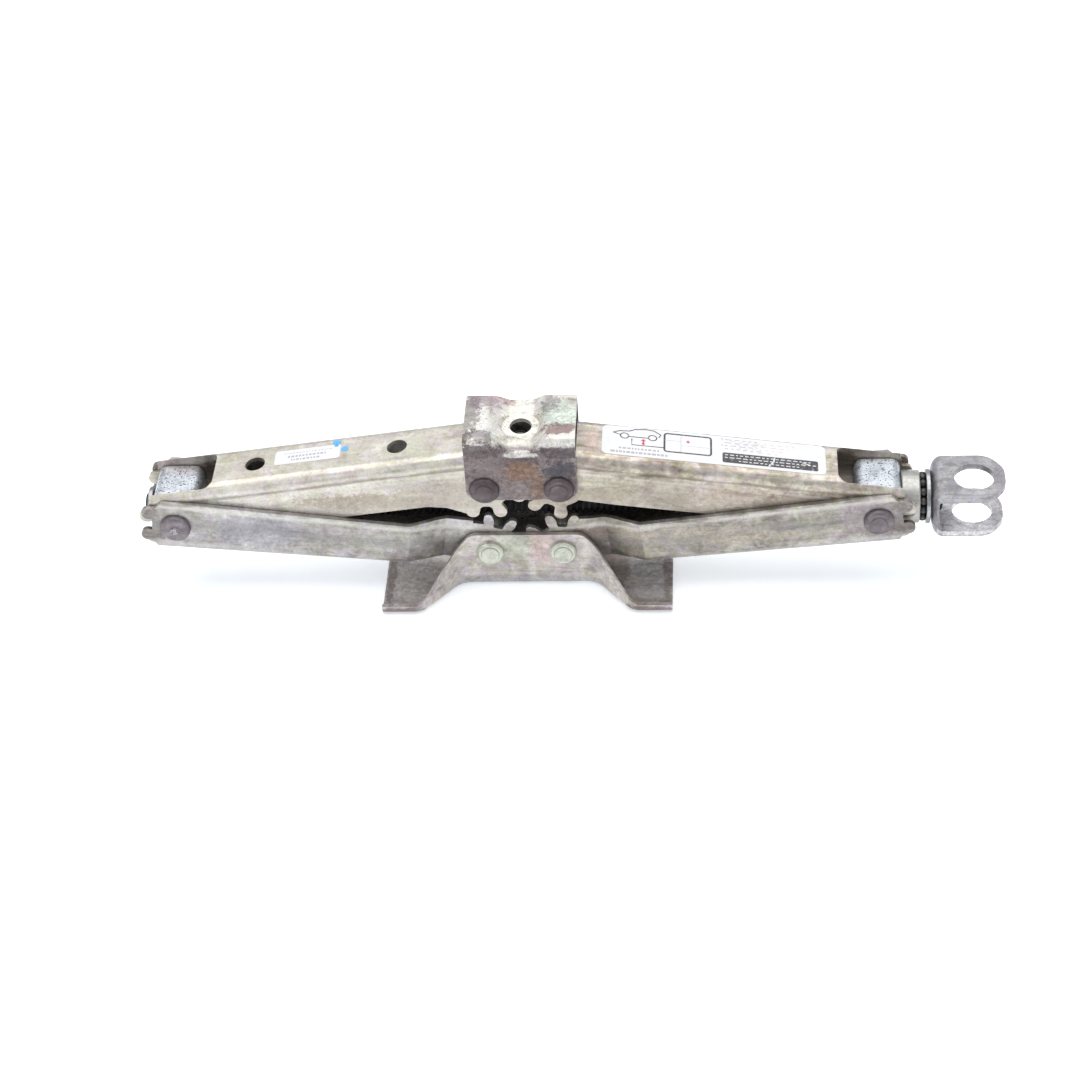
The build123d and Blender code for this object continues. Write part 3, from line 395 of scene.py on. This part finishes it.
paint(steel("saddle_rivet_steel", dark_tones, metal=0.55, gloss=(0.35, 0.55), wear=0.35,
            bare=(0.3, 0.26, 0.25)),
      "saddle_rivet_left", "saddle_rivet_right")
paint(steel("base_rivet_steel", light_tones, wear=0.5, dirt_amount=0.3, gloss=(0.35, 0.55)),
      "base_rivet_left", "base_rivet_right")
paint(steel("pivot_steel", plum_tones, metal=0.65, wear=0.5),
      "nut_retainer_front", "nut_retainer_rear", "bearing_pin_front", "bearing_pin_rear")
block_z = centre("trunnion_nut").z * 1000
nut_x = centre("trunnion_nut").x * 1000
block_zinc = steel(
    "block_zinc", zinc_tones, cavity=6, dirt_amount=0.35, speckle=1.0, spot_level=0.585, spangle=0.3,
    gloss=(0.32, 0.5),
    patches=(
        ((0.34, 0.28, 0.27), (nut_x, 10, block_z + 14), (14, 5, 4), 1.3, 0.5),
        (JOURNAL_SHADE, (nut_x, -21, block_z), (4, 3, 4), 0.3, 0.9),
        (JOURNAL_SHADE, (nut_x, 21, block_z), (4, 3, 4), 0.3, 0.9),
    ))
paint(block_zinc, "trunnion_nut", "trunnion_bearing")
paint(steel("sleeve_zinc", sleeve_tones, cavity=6, dirt_amount=0.55, speckle=0.5, gloss=(0.3, 0.5)),
      "thrust_sleeve")
paint(steel("bearing_oily_steel", oily_tones, cavity=6, metal=0.85, dirt_amount=0.6, gloss=(0.22, 0.4)),
      "thrust_washer", "screw_end_stop")
ball_tones = ((0.0, (0.02, 0.018, 0.018)), (1.0, (0.10, 0.095, 0.09)))
paint(steel("ball_grease", ball_tones, metal=0.6, wear=0.1), "thrust_balls")
LUG_PLUM = (0.30, 0.27, 0.30)
lug_x = centre("crank_lug").x * 1000
lug_z = centre("crank_lug").z * 1000
lug_zinc = steel(
    "lug_zinc", lug_tones, 0.0, INTERFERENCE, 0.25, dirt_amount=0.4, speckle=0.7, wear=0.3,
    bare=LUG_PLUM, cavity=2,
    patches=(
        # Painted light on the top face of the lower ear, which the upper ear shades.
        ((0.66, 0.64, 0.65), (lug_x, 0, lug_z - 9), (30, 30, 3), 0.5, 0.85),
        (LUG_PLUM, (lug_x + 16, 0, lug_z), (5, 30, 20), 0.5, 0.5),
    ))
paint(lug_zinc, "crank_lug")

# ---------------------------------------------------------------- lead screw with a real thread
THREAD_PITCH = 3.0
THREAD_DEPTH = 1.1
STEPS_PER_TURN = 28
SCREW_R = 6.5
CORE_R = SCREW_R - THREAD_DEPTH
THREAD_SETBACK = 6.0        # from the free end to the thread
BEARING_GAP = 2.0           # from the thread to the bearing block
UNDERCUT = 0.2              # the core inside the thread is this much thinner than its root
COLLAR = (1.6, 4.1)         # start and end of the full collar at the free end
SEAT_R = 5.0                # the neck in the lug's web
SEAT_LENGTH = 3.2
SHARP = 0.01                # length of a step that looks square
RIVETED_R = 7.0             # the end that is riveted over inside the lug
SHARP_ANGLE = 35            # degrees, above which an edge of the screw stays sharp


def lathe(bm, profile, axis_z, steps=40):
    """Turn (x, radius) points in millimetres about the screw's axis."""
    rings = []
    for x, radius in profile:
        ring = [bm.verts.new((x * MM, radius * MM * math.cos(2 * math.pi * step / steps),
                              axis_z + radius * MM * math.sin(2 * math.pi * step / steps)))
                for step in range(steps)]
        rings.append(ring)
    for near, far in zip(rings, rings[1:]):
        for step in range(steps):
            after = (step + 1) % steps
            bm.faces.new((near[step], near[after], far[after], far[step]))
    bm.faces.new(rings[0][::-1])
    bm.faces.new(rings[-1])


def thread(bm, start, end, radius, axis_z):
    """A right-hand trapezoidal thread between start and end, ends cut square."""
    root = radius - THREAD_DEPTH
    section = ((0.0, root), (0.95, root), (1.35, radius), (2.6, radius))
    turns = int((end - start) / THREAD_PITCH) + 2
    rows = []
    for step in range(turns * STEPS_PER_TURN + 1):
        angle = 2 * math.pi * step / STEPS_PER_TURN
        offset = start - THREAD_PITCH + THREAD_PITCH * step / STEPS_PER_TURN
        row = []
        for shift, height in section:
            x = min(max(offset + shift, start), end)
            row.append(bm.verts.new((x * MM, height * MM * math.cos(angle),
                                     axis_z - height * MM * math.sin(angle))))
        rows.append(row)
    last = len(rows) - 1
    for step in range(last):
        here, after = rows[step], rows[step + 1]
        for index in range(3):
            bm.faces.new((here[index], here[index + 1], after[index + 1], after[index]))
        if step + 1 + STEPS_PER_TURN <= last:
            upper_here, upper_after = rows[step + STEPS_PER_TURN], rows[step + 1 + STEPS_PER_TURN]
            bm.faces.new((here[3], upper_here[0], upper_after[0], after[3]))


def add_mesh(name, bm, body, material, smooth_angle=None):
    """Turn a bmesh into a piece that rides on a body."""
    bmesh.ops.recalc_face_normals(bm, faces=bm.faces)
    mesh = bpy.data.meshes.new(name)
    bm.to_mesh(mesh)
    bm.free()
    piece = bpy.data.objects.new(name, mesh)
    scene.collection.objects.link(piece)
    mesh.materials.append(material)
    if smooth_angle is not None:
        for face in mesh.polygons:
            face.use_smooth = True
        mesh.set_sharp_from_angle(angle=math.radians(smooth_angle))
    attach(piece, body)
    return piece


screw_low, screw_high = (Vector(corner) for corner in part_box("lead_screw"))
screw_z = centre("trunnion_nut").z
sleeve_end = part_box("thrust_sleeve")[1][0] * 1000
bearing_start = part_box("trunnion_bearing")[0][0] * 1000
lug_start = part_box("crank_lug")[0][0] * 1000
screw_start, screw_end = screw_low.x * 1000, screw_high.x * 1000

# Grease and painted shade: the screw is coloured near black so that it stays as dark as the shaded gap
# between the arms.
grease_and_shade_screw = steel("greased_and_shaded_screw", grease_and_shade_tones, metal=0.2, grime_and_shade_colour=(0.02, 0.018, 0.016), dirt_amount=0.7,
                gloss=(0.6, 0.75), wear=0.1, bare=(0.06, 0.06, 0.06), cavity=4)
grease_and_shade_screw.node_tree.nodes["Principled BSDF"].inputs["Specular IOR Level"].default_value = 0.15
screw_mesh = bmesh.new()
thread(screw_mesh, screw_start + THREAD_SETBACK, bearing_start - BEARING_GAP, SCREW_R, screw_z)
bmesh.ops.remove_doubles(screw_mesh, verts=screw_mesh.verts, dist=1e-6)
bmesh.ops.dissolve_degenerate(screw_mesh, edges=screw_mesh.edges, dist=1e-6)
lathe(screw_mesh, (
    (screw_start, CORE_R - 0.6), (screw_start + 0.6, CORE_R), (screw_start + COLLAR[0] - 0.1, CORE_R),
    (screw_start + COLLAR[0], SCREW_R), (screw_start + COLLAR[1], SCREW_R),
    (screw_start + COLLAR[1] + 0.5, CORE_R - UNDERCUT), (bearing_start - 1.2, CORE_R - UNDERCUT),
    (bearing_start - 0.8, SCREW_R), (lug_start, SCREW_R),
    (lug_start + SHARP, SEAT_R), (lug_start + SEAT_LENGTH, SEAT_R),
    (lug_start + SEAT_LENGTH + SHARP, RIVETED_R), (screw_end - 1.4, RIVETED_R),
    (screw_end - 0.4, 6.2), (screw_end, 4.6)), screw_z)
screw_piece = add_mesh("threaded_screw", screw_mesh, "screw", grease_and_shade_screw, SHARP_ANGLE)
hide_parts("lead_screw")


# ---------------------------------------------------------------- printed film labels
def film_material(name, base, stain):
    """White printed film with a faint mottle, rubbed edges and soft creases."""
    net = Net(name)
    where = net.place()
    clouds = net.noise(where, 12, 4.0, 0.6)
    colour = net.mix(net.span(clouds, 0.4, 0.75, 0.0, 0.45), base, stain)
    scuffs = net.noise(net.place(stretch=(0.2, 1, 1)), 0.8, 3.0, 0.6)
    colour = net.mix(net.span(scuffs, 0.62, 0.72, 0.0, 0.4), colour, (0.45, 0.43, 0.40))
    rubbed = net.math("MULTIPLY", net.edges(0.5), 0.5)
    colour = net.mix(rubbed, colour, (0.55, 0.53, 0.49))
    net.put(net.shader.inputs["Base Color"], colour)
    net.put(net.shader.inputs["Roughness"], net.span(net.noise(where, 3), 0.3, 0.7, 0.28, 0.45))
    net.put(net.shader.inputs["Normal"], net.node("ShaderNodeBump", {
        "Height": net.noise(where, 5, 3.0), "Distance": 0.15 * MM, "Strength": 0.5}))
    net.shader.inputs["Coat Weight"].default_value = 0.3
    net.shader.inputs["Coat Roughness"].default_value = 0.25
    return net.material


def ink_material(name, colour):
    """Printed ink, patchy where it has been rubbed."""
    net = Net(name)
    where = net.place()
    worn = net.span(net.noise(where, 1.2, 4.0, 0.7), 0.5, 0.75, 0.0, 0.6)
    shade = net.mix(worn, colour, (0.6, 0.58, 0.55))
    net.put(net.shader.inputs["Base Color"], shade)
    net.put(net.shader.inputs["Roughness"], net.span(net.noise(where, 2.0), 0.3, 0.7, 0.35, 0.55))
    net.put(net.shader.inputs["Normal"], net.node("ShaderNodeBump", {
        "Height": net.noise(where, 0.7, 2.0), "Distance": 0.05 * MM, "Strength": 0.4}))
    return net.material


film = film_material("label_film", (0.74, 0.73, 0.735), (0.68, 0.655, 0.65))
black_ink = ink_material("black_ink", (0.05, 0.045, 0.05))
grey_ink = ink_material("grey_ink", (0.42, 0.39, 0.40))
pink_ink = ink_material("pink_ink", (0.66, 0.46, 0.47))
red_ink = ink_material("red_ink", (0.60, 0.06, 0.09))
blue_ink = ink_material("blue_ink", (0.10, 0.40, 0.78))
paint(film, "instruction_label", "small_label")


def label_plane(node, side):
    """Matrix from label millimetres (x along the arm outwards, y to the rear, z up) to the frame."""
    slope = math.radians(ARM_SLOPE)
    low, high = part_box(node)
    along = Vector((math.cos(slope), 0, -side * math.sin(slope)))
    across = Vector((0, 1, 0))
    normal = along.cross(across)
    middle = (Vector(low) + Vector(high)) / 2
    matrix = Matrix((along, across, normal)).transposed().to_4x4()
    matrix.translation = middle
    return matrix


PRINT_LIFT = 0.12       # the print lies this far above the middle of the film
PRINT_THICKNESS = 0.03
BLOT_THICKNESS = 0.24   # the blue blots reach past the sticker, down to the arm
OVERPRINT_LIFT = 0.012  # white print lies this far above the dark panel


def stroke(bm, points, width, closed=False):
    """A printed line of this width through points, as a thin raised ribbon."""
    count = len(points)
    left, right = [], []
    for index, point in enumerate(points):
        before = points[index - 1] if (index or closed) else point
        after = points[(index + 1) % count] if (index + 1 < count or closed) else point
        heading = Vector((after[0] - before[0], after[1] - before[1]))
        heading.normalize()
        sideways = Vector((-heading.y, heading.x)) * width / 2
        left.append((point[0] + sideways.x, point[1] + sideways.y))
        right.append((point[0] - sideways.x, point[1] - sideways.y))
    spans = count if closed else count - 1
    for index in range(spans):
        after = (index + 1) % count
        slab(bm, (left[index], right[index], right[after], left[after]))


def slab(bm, corners, thickness=PRINT_THICKNESS):
    """A thin raised plate with these corners."""
    low = [bm.verts.new((x, y, PRINT_LIFT - thickness)) for x, y in corners]
    high = [bm.verts.new((x, y, PRINT_LIFT)) for x, y in corners]
    bm.faces.new(high)
    bm.faces.new(low[::-1])
    for index in range(len(corners)):
        after = (index + 1) % len(corners)
        bm.faces.new((low[index], low[after], high[after], high[index]))


def bar(bm, x, y, length, height):
    low, high = y - height / 2, y + height / 2
    slab(bm, ((x, low), (x + length, low), (x + length, high), (x, high)))


def arc(cx, cy, radius, start, end, steps=10):
    turns = [math.radians(start + (end - start) * step / steps) for step in range(steps + 1)]
    return [(cx + radius * math.cos(turn), cy + radius * math.sin(turn)) for turn in turns]


def place_print(name, bm, node, side, body, material):
    matrix = label_plane(node, side)
    scaled = matrix @ Matrix.Scale(MM, 4)
    bmesh.ops.transform(bm, matrix=scaled, verts=bm.verts)
    return add_mesh(name, bm, body, material)


dice = random.Random(7)


def rounded_box(left, right, low, high, radius):
    """Outline points of a rounded rectangle."""
    corners = ((right - radius, high - radius, 90), (right - radius, low + radius, 0),
               (left + radius, low + radius, -90), (left + radius, high - radius, 180))
    return [point for x, y, start in corners for point in arc(x, y, radius, start, start - 90, 5)]


def blank_line(bm, left, right, y, height, longest, gap):
    """A row of blank bars of uneven length, where a line of print would be."""
    x = left
    while x < right - 0.6:
        length = min(dice.uniform(0.35, 1.0) * longest, right - x)
        bar(bm, x, y + dice.uniform(-0.05, 0.05), length, height)
        x += length + gap


# A plain side view of a vehicle on a jack, a framed panel and rows of blank bars
print_black = bmesh.new()
car = [(-48.9, 5.8), (-46, 7.3), (-41, 7.8), (-38.3, 9.4), (-33, 10.1), (-29.2, 9.6), (-25.8, 7.0),
       (-26.8, 4.8)]
stroke(print_black, car, 0.65)
stroke(print_black, [(-48.9, 5.8), (-45.6, 4.6)], 0.6)
stroke(print_black, [(-41.2, 3.6), (-32.0, 3.6)], 0.6)
for wheel_x, wheel_y in ((-43.4, 4.0), (-29.8, 4.1)):
    stroke(print_black, arc(wheel_x, wheel_y, 2.0, 0, 340, 16), 0.6, closed=True)
stroke(print_black, [(-39.8, 2.2), (-39.8, -2.4), (-24.0, -2.4)], 0.6)
stroke(print_black, rounded_box(-24.0, -1.4, -4.9, 8.7, 1.4), 0.95, closed=True)
slab(print_black, rounded_box(4.1, 50.4, -8.8, -1.3, 1.0)[::-1])
place_print("instruction_print_black", print_black, "instruction_label", 1, "upper_right", black_ink)

print_grey = bmesh.new()
blank_line(print_grey, -46.0, -26.5, -5.4, 1.3, 2.2, 0.6)
blank_line(print_grey, -50.0, -22.5, -8.3, 1.5, 2.4, 0.5)
stroke(print_grey, [(-16.0, 8.0), (-16.0, -4.2)], 0.25)
stroke(print_grey, [(-23.2, 3.6), (-16.2, 3.6)], 0.2)
stroke(print_grey, [(-15.8, 0.6), (-2.2, 0.6)], 0.2)
for row in range(4):
    blank_line(print_grey, 5.2, 21.0 + 3.0 * (row % 2), 8.6 - 2.3 * row, 0.5, 3.6, 1.4)
bar(print_grey, 3.6, 8.8, 0.8, 0.8)
bar(print_grey, 3.6, 4.2, 0.8, 0.8)
place_print("instruction_print_grey", print_grey, "instruction_label", 1, "upper_right", grey_ink)

print_pink = bmesh.new()
for row in range(4):
    blank_line(print_pink, 8.0 + 2.0 * row, 39.0 - 2.5 * row, 7.6 - 2.3 * row, 0.42, 2.8, 2.0)
place_print("instruction_print_pink", print_pink, "instruction_label", 1, "upper_right", pink_ink)

print_red = bmesh.new()
stroke(print_red, [(-34.2, 2.6), (-34.2, -1.8)], 0.9)
stroke(print_red, [(-35.4, 1.4), (-33.0, 1.4)], 0.6)
stroke(print_red, [(-35.2, -0.9), (-33.2, -0.9)], 0.5)
stroke(print_red, [(-13.6, 3.8), (-11.6, 3.8)], 0.7)
stroke(print_red, [(-12.6, 4.9), (-12.6, 2.7)], 0.6)
place_print("instruction_print_red", print_red, "instruction_label", 1, "upper_right", red_ink)

print_white = bmesh.new()
for row, (left_end, right_end) in enumerate(((5.4, 47.0), (5.4, 49.4), (12.0, 42.0))):
    blank_line(print_white, left_end, right_end, -2.9 - 2.1 * row, 0.6, 2.4, 0.9)
stroke(print_white, [(26.4, -8.6), (28.8, -5.2), (29.4, -1.8)], 0.8)
stroke(print_white, [(42.6, -3.4), (46.4, -4.6)], 0.5)
bmesh.ops.translate(print_white, vec=(0, 0, OVERPRINT_LIFT), verts=print_white.verts)
place_print("instruction_print_white", print_white, "instruction_label", 1, "upper_right", film)

print_small = bmesh.new()
for row, height in enumerate((0.5, 1.3, 1.3)):
    blank_line(print_small, -12.0 + 2.0 * row, 12.0 - 2.5 * row, 2.6 - 2.6 * row, height, 1.6, 0.6)
place_print("small_label_print", print_small, "small_label", -1, "upper_left", grey_ink)

print_blue = bmesh.new()
for blot_x, blot_y, blot_r in ((14.0, 6.6, 2.1), (14.2, 4.3, 1.1), (18.6, 1.2, 1.9)):
    slab(print_blue, arc(blot_x, blot_y, blot_r, 360, 20, 14), BLOT_THICKNESS)
place_print("small_label_print_blue", print_blue, "small_label", -1, "upper_left", blue_ink)

# ---------------------------------------------------------------- floor, light and camera
FLOOR_HALF = 6.0
floor_net = Net("floor_white")
floor_tone = floor_net.span(floor_net.noise(floor_net.place(), 400, 2.0), 0.3, 0.7)
floor_white = floor_net.mix(floor_tone, (0.90, 0.91, 0.925), (0.92, 0.93, 0.94))
floor_net.put(floor_net.shader.inputs["Base Color"], floor_white)
floor_net.shader.inputs["Roughness"].default_value = 0.6
floor_net.shader.inputs["Specular IOR Level"].default_value = 0.2
floor_net.shader.inputs["Emission Color"].default_value = (0.94, 0.97, 1.0, 1.0)
floor_net.shader.inputs["Emission Strength"].default_value = 0.38
floor_mesh = bmesh.new()
bmesh.ops.create_grid(floor_mesh, x_segments=4, y_segments=4, size=FLOOR_HALF)
floor_data = bpy.data.meshes.new("floor")
floor_mesh.to_mesh(floor_data)
floor_mesh.free()
floor_data.materials.append(floor_net.material)
floor = bpy.data.objects.new("floor", floor_data)
scene.collection.objects.link(floor)

world = bpy.data.worlds.new("studio")
scene.world = world
world.use_nodes = True
sky = world.node_tree.nodes["Background"]
sky.inputs["Color"].default_value = (0.88, 0.94, 1.0, 1.0)
sky.inputs["Strength"].default_value = 0.6


def softbox(name, place, aim, size, power, colour=(1, 1, 1)):
    """A rectangular light at place, facing aim."""
    light = bpy.data.lights.new(name, "AREA")
    light.shape = "RECTANGLE"
    light.size, light.size_y = size
    light.energy = power
    light.color = colour
    lamp = bpy.data.objects.new(name, light)
    lamp.location = place
    lamp.rotation_euler = (Vector(aim) - Vector(place)).to_track_quat("-Z", "Y").to_euler()
    scene.collection.objects.link(lamp)


softbox("overhead", (0.0, 0.3, 1.4), (0, 0, 0.03), (2.2, 1.8), 25)
softbox("left_front", (-1.0, -1.1, 0.8), (0, 0, 0.04), (1.1, 0.9), 4.0)
softbox("right_front", (1.1, -1.0, 0.7), (0, 0, 0.04), (0.9, 0.8), 1.7, (0.96, 0.98, 1.0))

# The camera looks down at 41 degrees from a little right of square on, rolled a little
YAW, ROLL, DIP = 0.091, 0.068, math.radians(41.0)
DISTANCE = 1.3
LENS = 86.67
SENSOR_WIDTH = 36.0
TARGET = Vector((5.2, 4.0, 14.0)) * MM
right = Vector((math.cos(YAW), math.sin(YAW), 0))
forward = Vector((-math.sin(YAW) * math.cos(DIP), math.cos(YAW) * math.cos(DIP), -math.sin(DIP)))
upward = right.cross(forward)
rolled_right = right * math.cos(ROLL) - upward * math.sin(ROLL)
rolled_up = right * math.sin(ROLL) + upward * math.cos(ROLL)
camera_data = bpy.data.cameras.new("camera")
camera_data.lens = LENS
camera_data.sensor_width = SENSOR_WIDTH
camera_data.clip_start, camera_data.clip_end = 0.05, 50.0
camera = bpy.data.objects.new("camera", camera_data)
facing = Matrix((rolled_right, rolled_up, -forward)).transposed().to_4x4()
facing.translation = TARGET - forward * DISTANCE
camera.matrix_world = facing
scene.collection.objects.link(camera)
scene.camera = camera
scene.view_settings.view_transform = "Standard"
